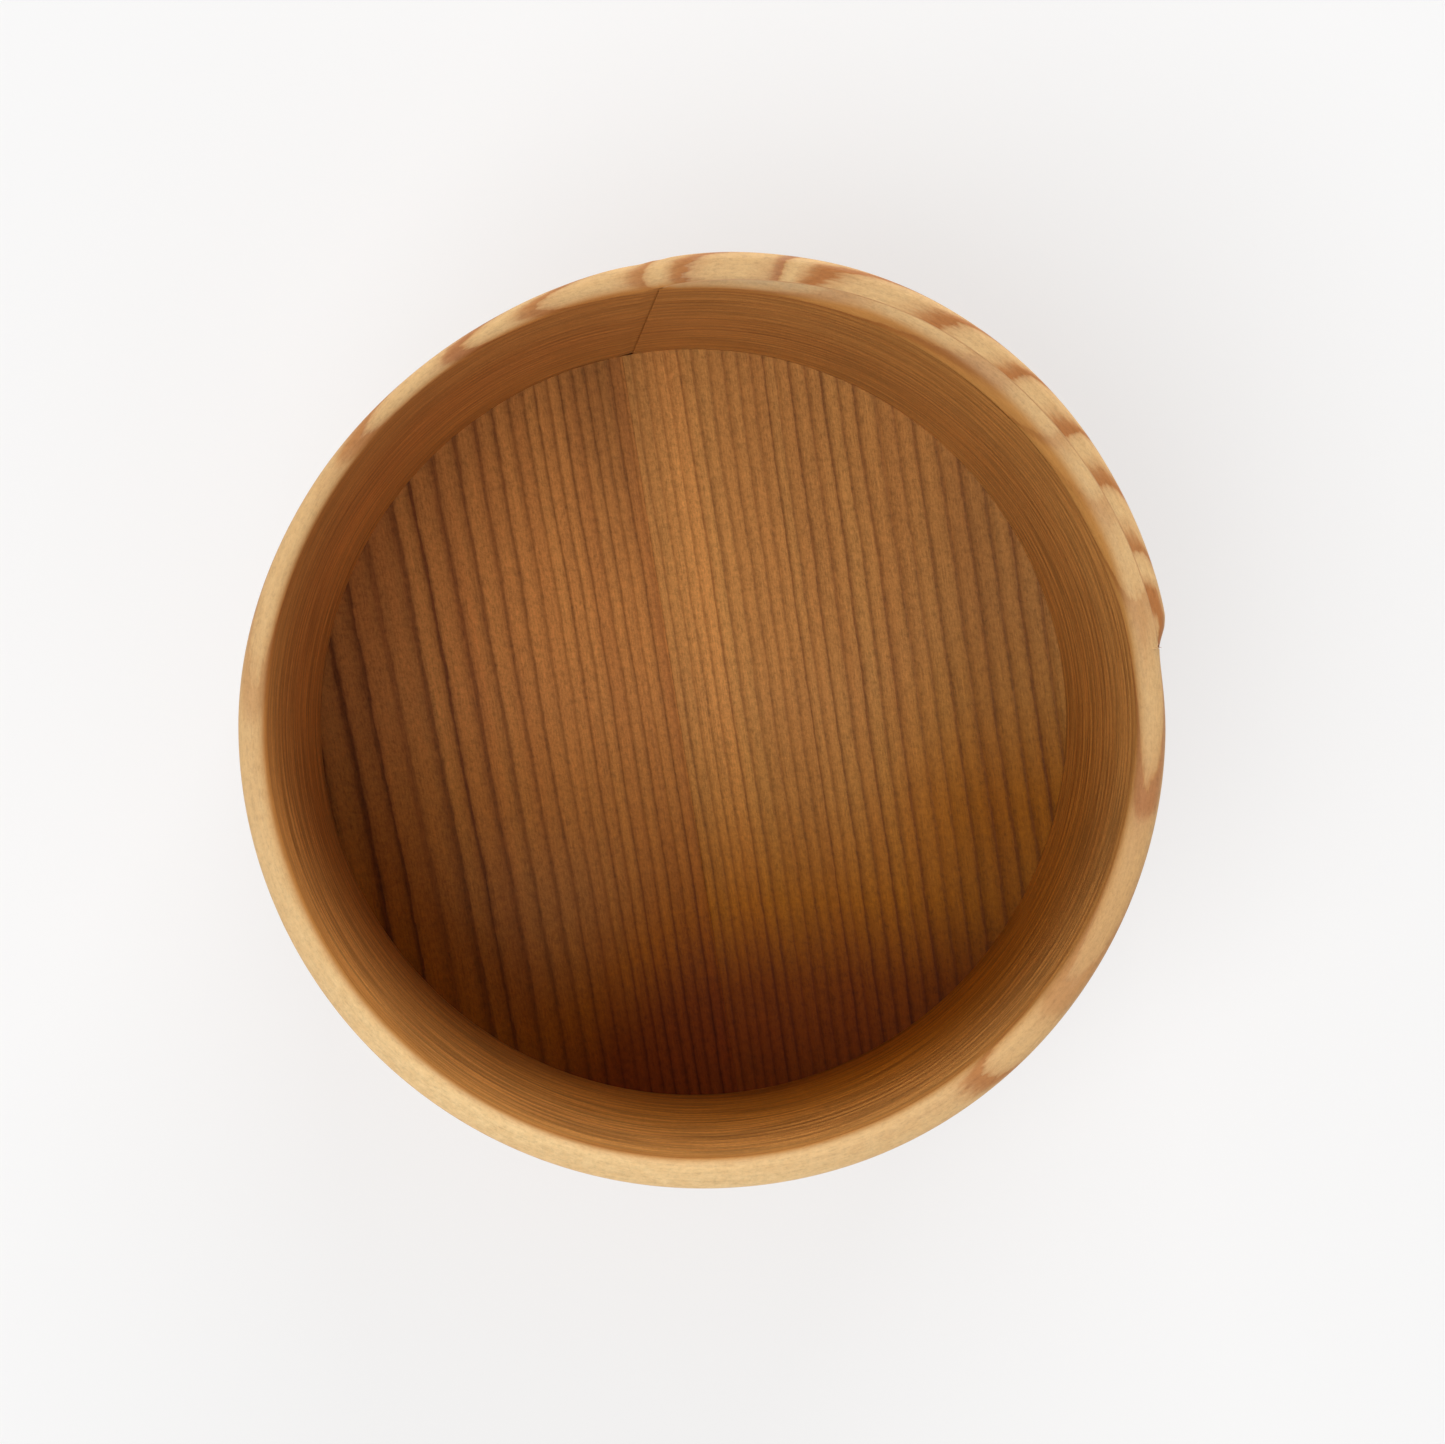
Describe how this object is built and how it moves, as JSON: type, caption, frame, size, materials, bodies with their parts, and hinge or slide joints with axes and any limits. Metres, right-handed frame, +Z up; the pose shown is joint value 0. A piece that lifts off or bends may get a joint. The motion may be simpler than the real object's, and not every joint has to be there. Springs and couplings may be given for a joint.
{
  "type": "bentwood vessel",
  "caption": "Round open vessel of thin bent cedar with a lapped wall, a softly rounded rim and a solid jointed wooden bottom set a little above the foot.",
  "frame": {"origin": "on the surface the vessel stands on, under the middle of the band's outline", "axes": "+Z up, out of the open mouth; +X to the right and +Y away from the viewer looking down into it, with the lap between +X and +Y"},
  "size_m": [0.128, 0.1294, 0.08],
  "materials": {
    "cedar_band": "bare planed cedar, satin, grain running round the band",
    "cedar_base_left": "bare planed cedar heartwood, straight quarter-sawn grain",
    "cedar_base_right": "bare planed cedar heartwood, straight quarter-sawn grain"
  },
  "bodies": {
    "root": {"side_band": "cedar_band", "base_board_left": "cedar_base_left", "base_board_right": "cedar_base_right"}
  },
  "joints": []
}
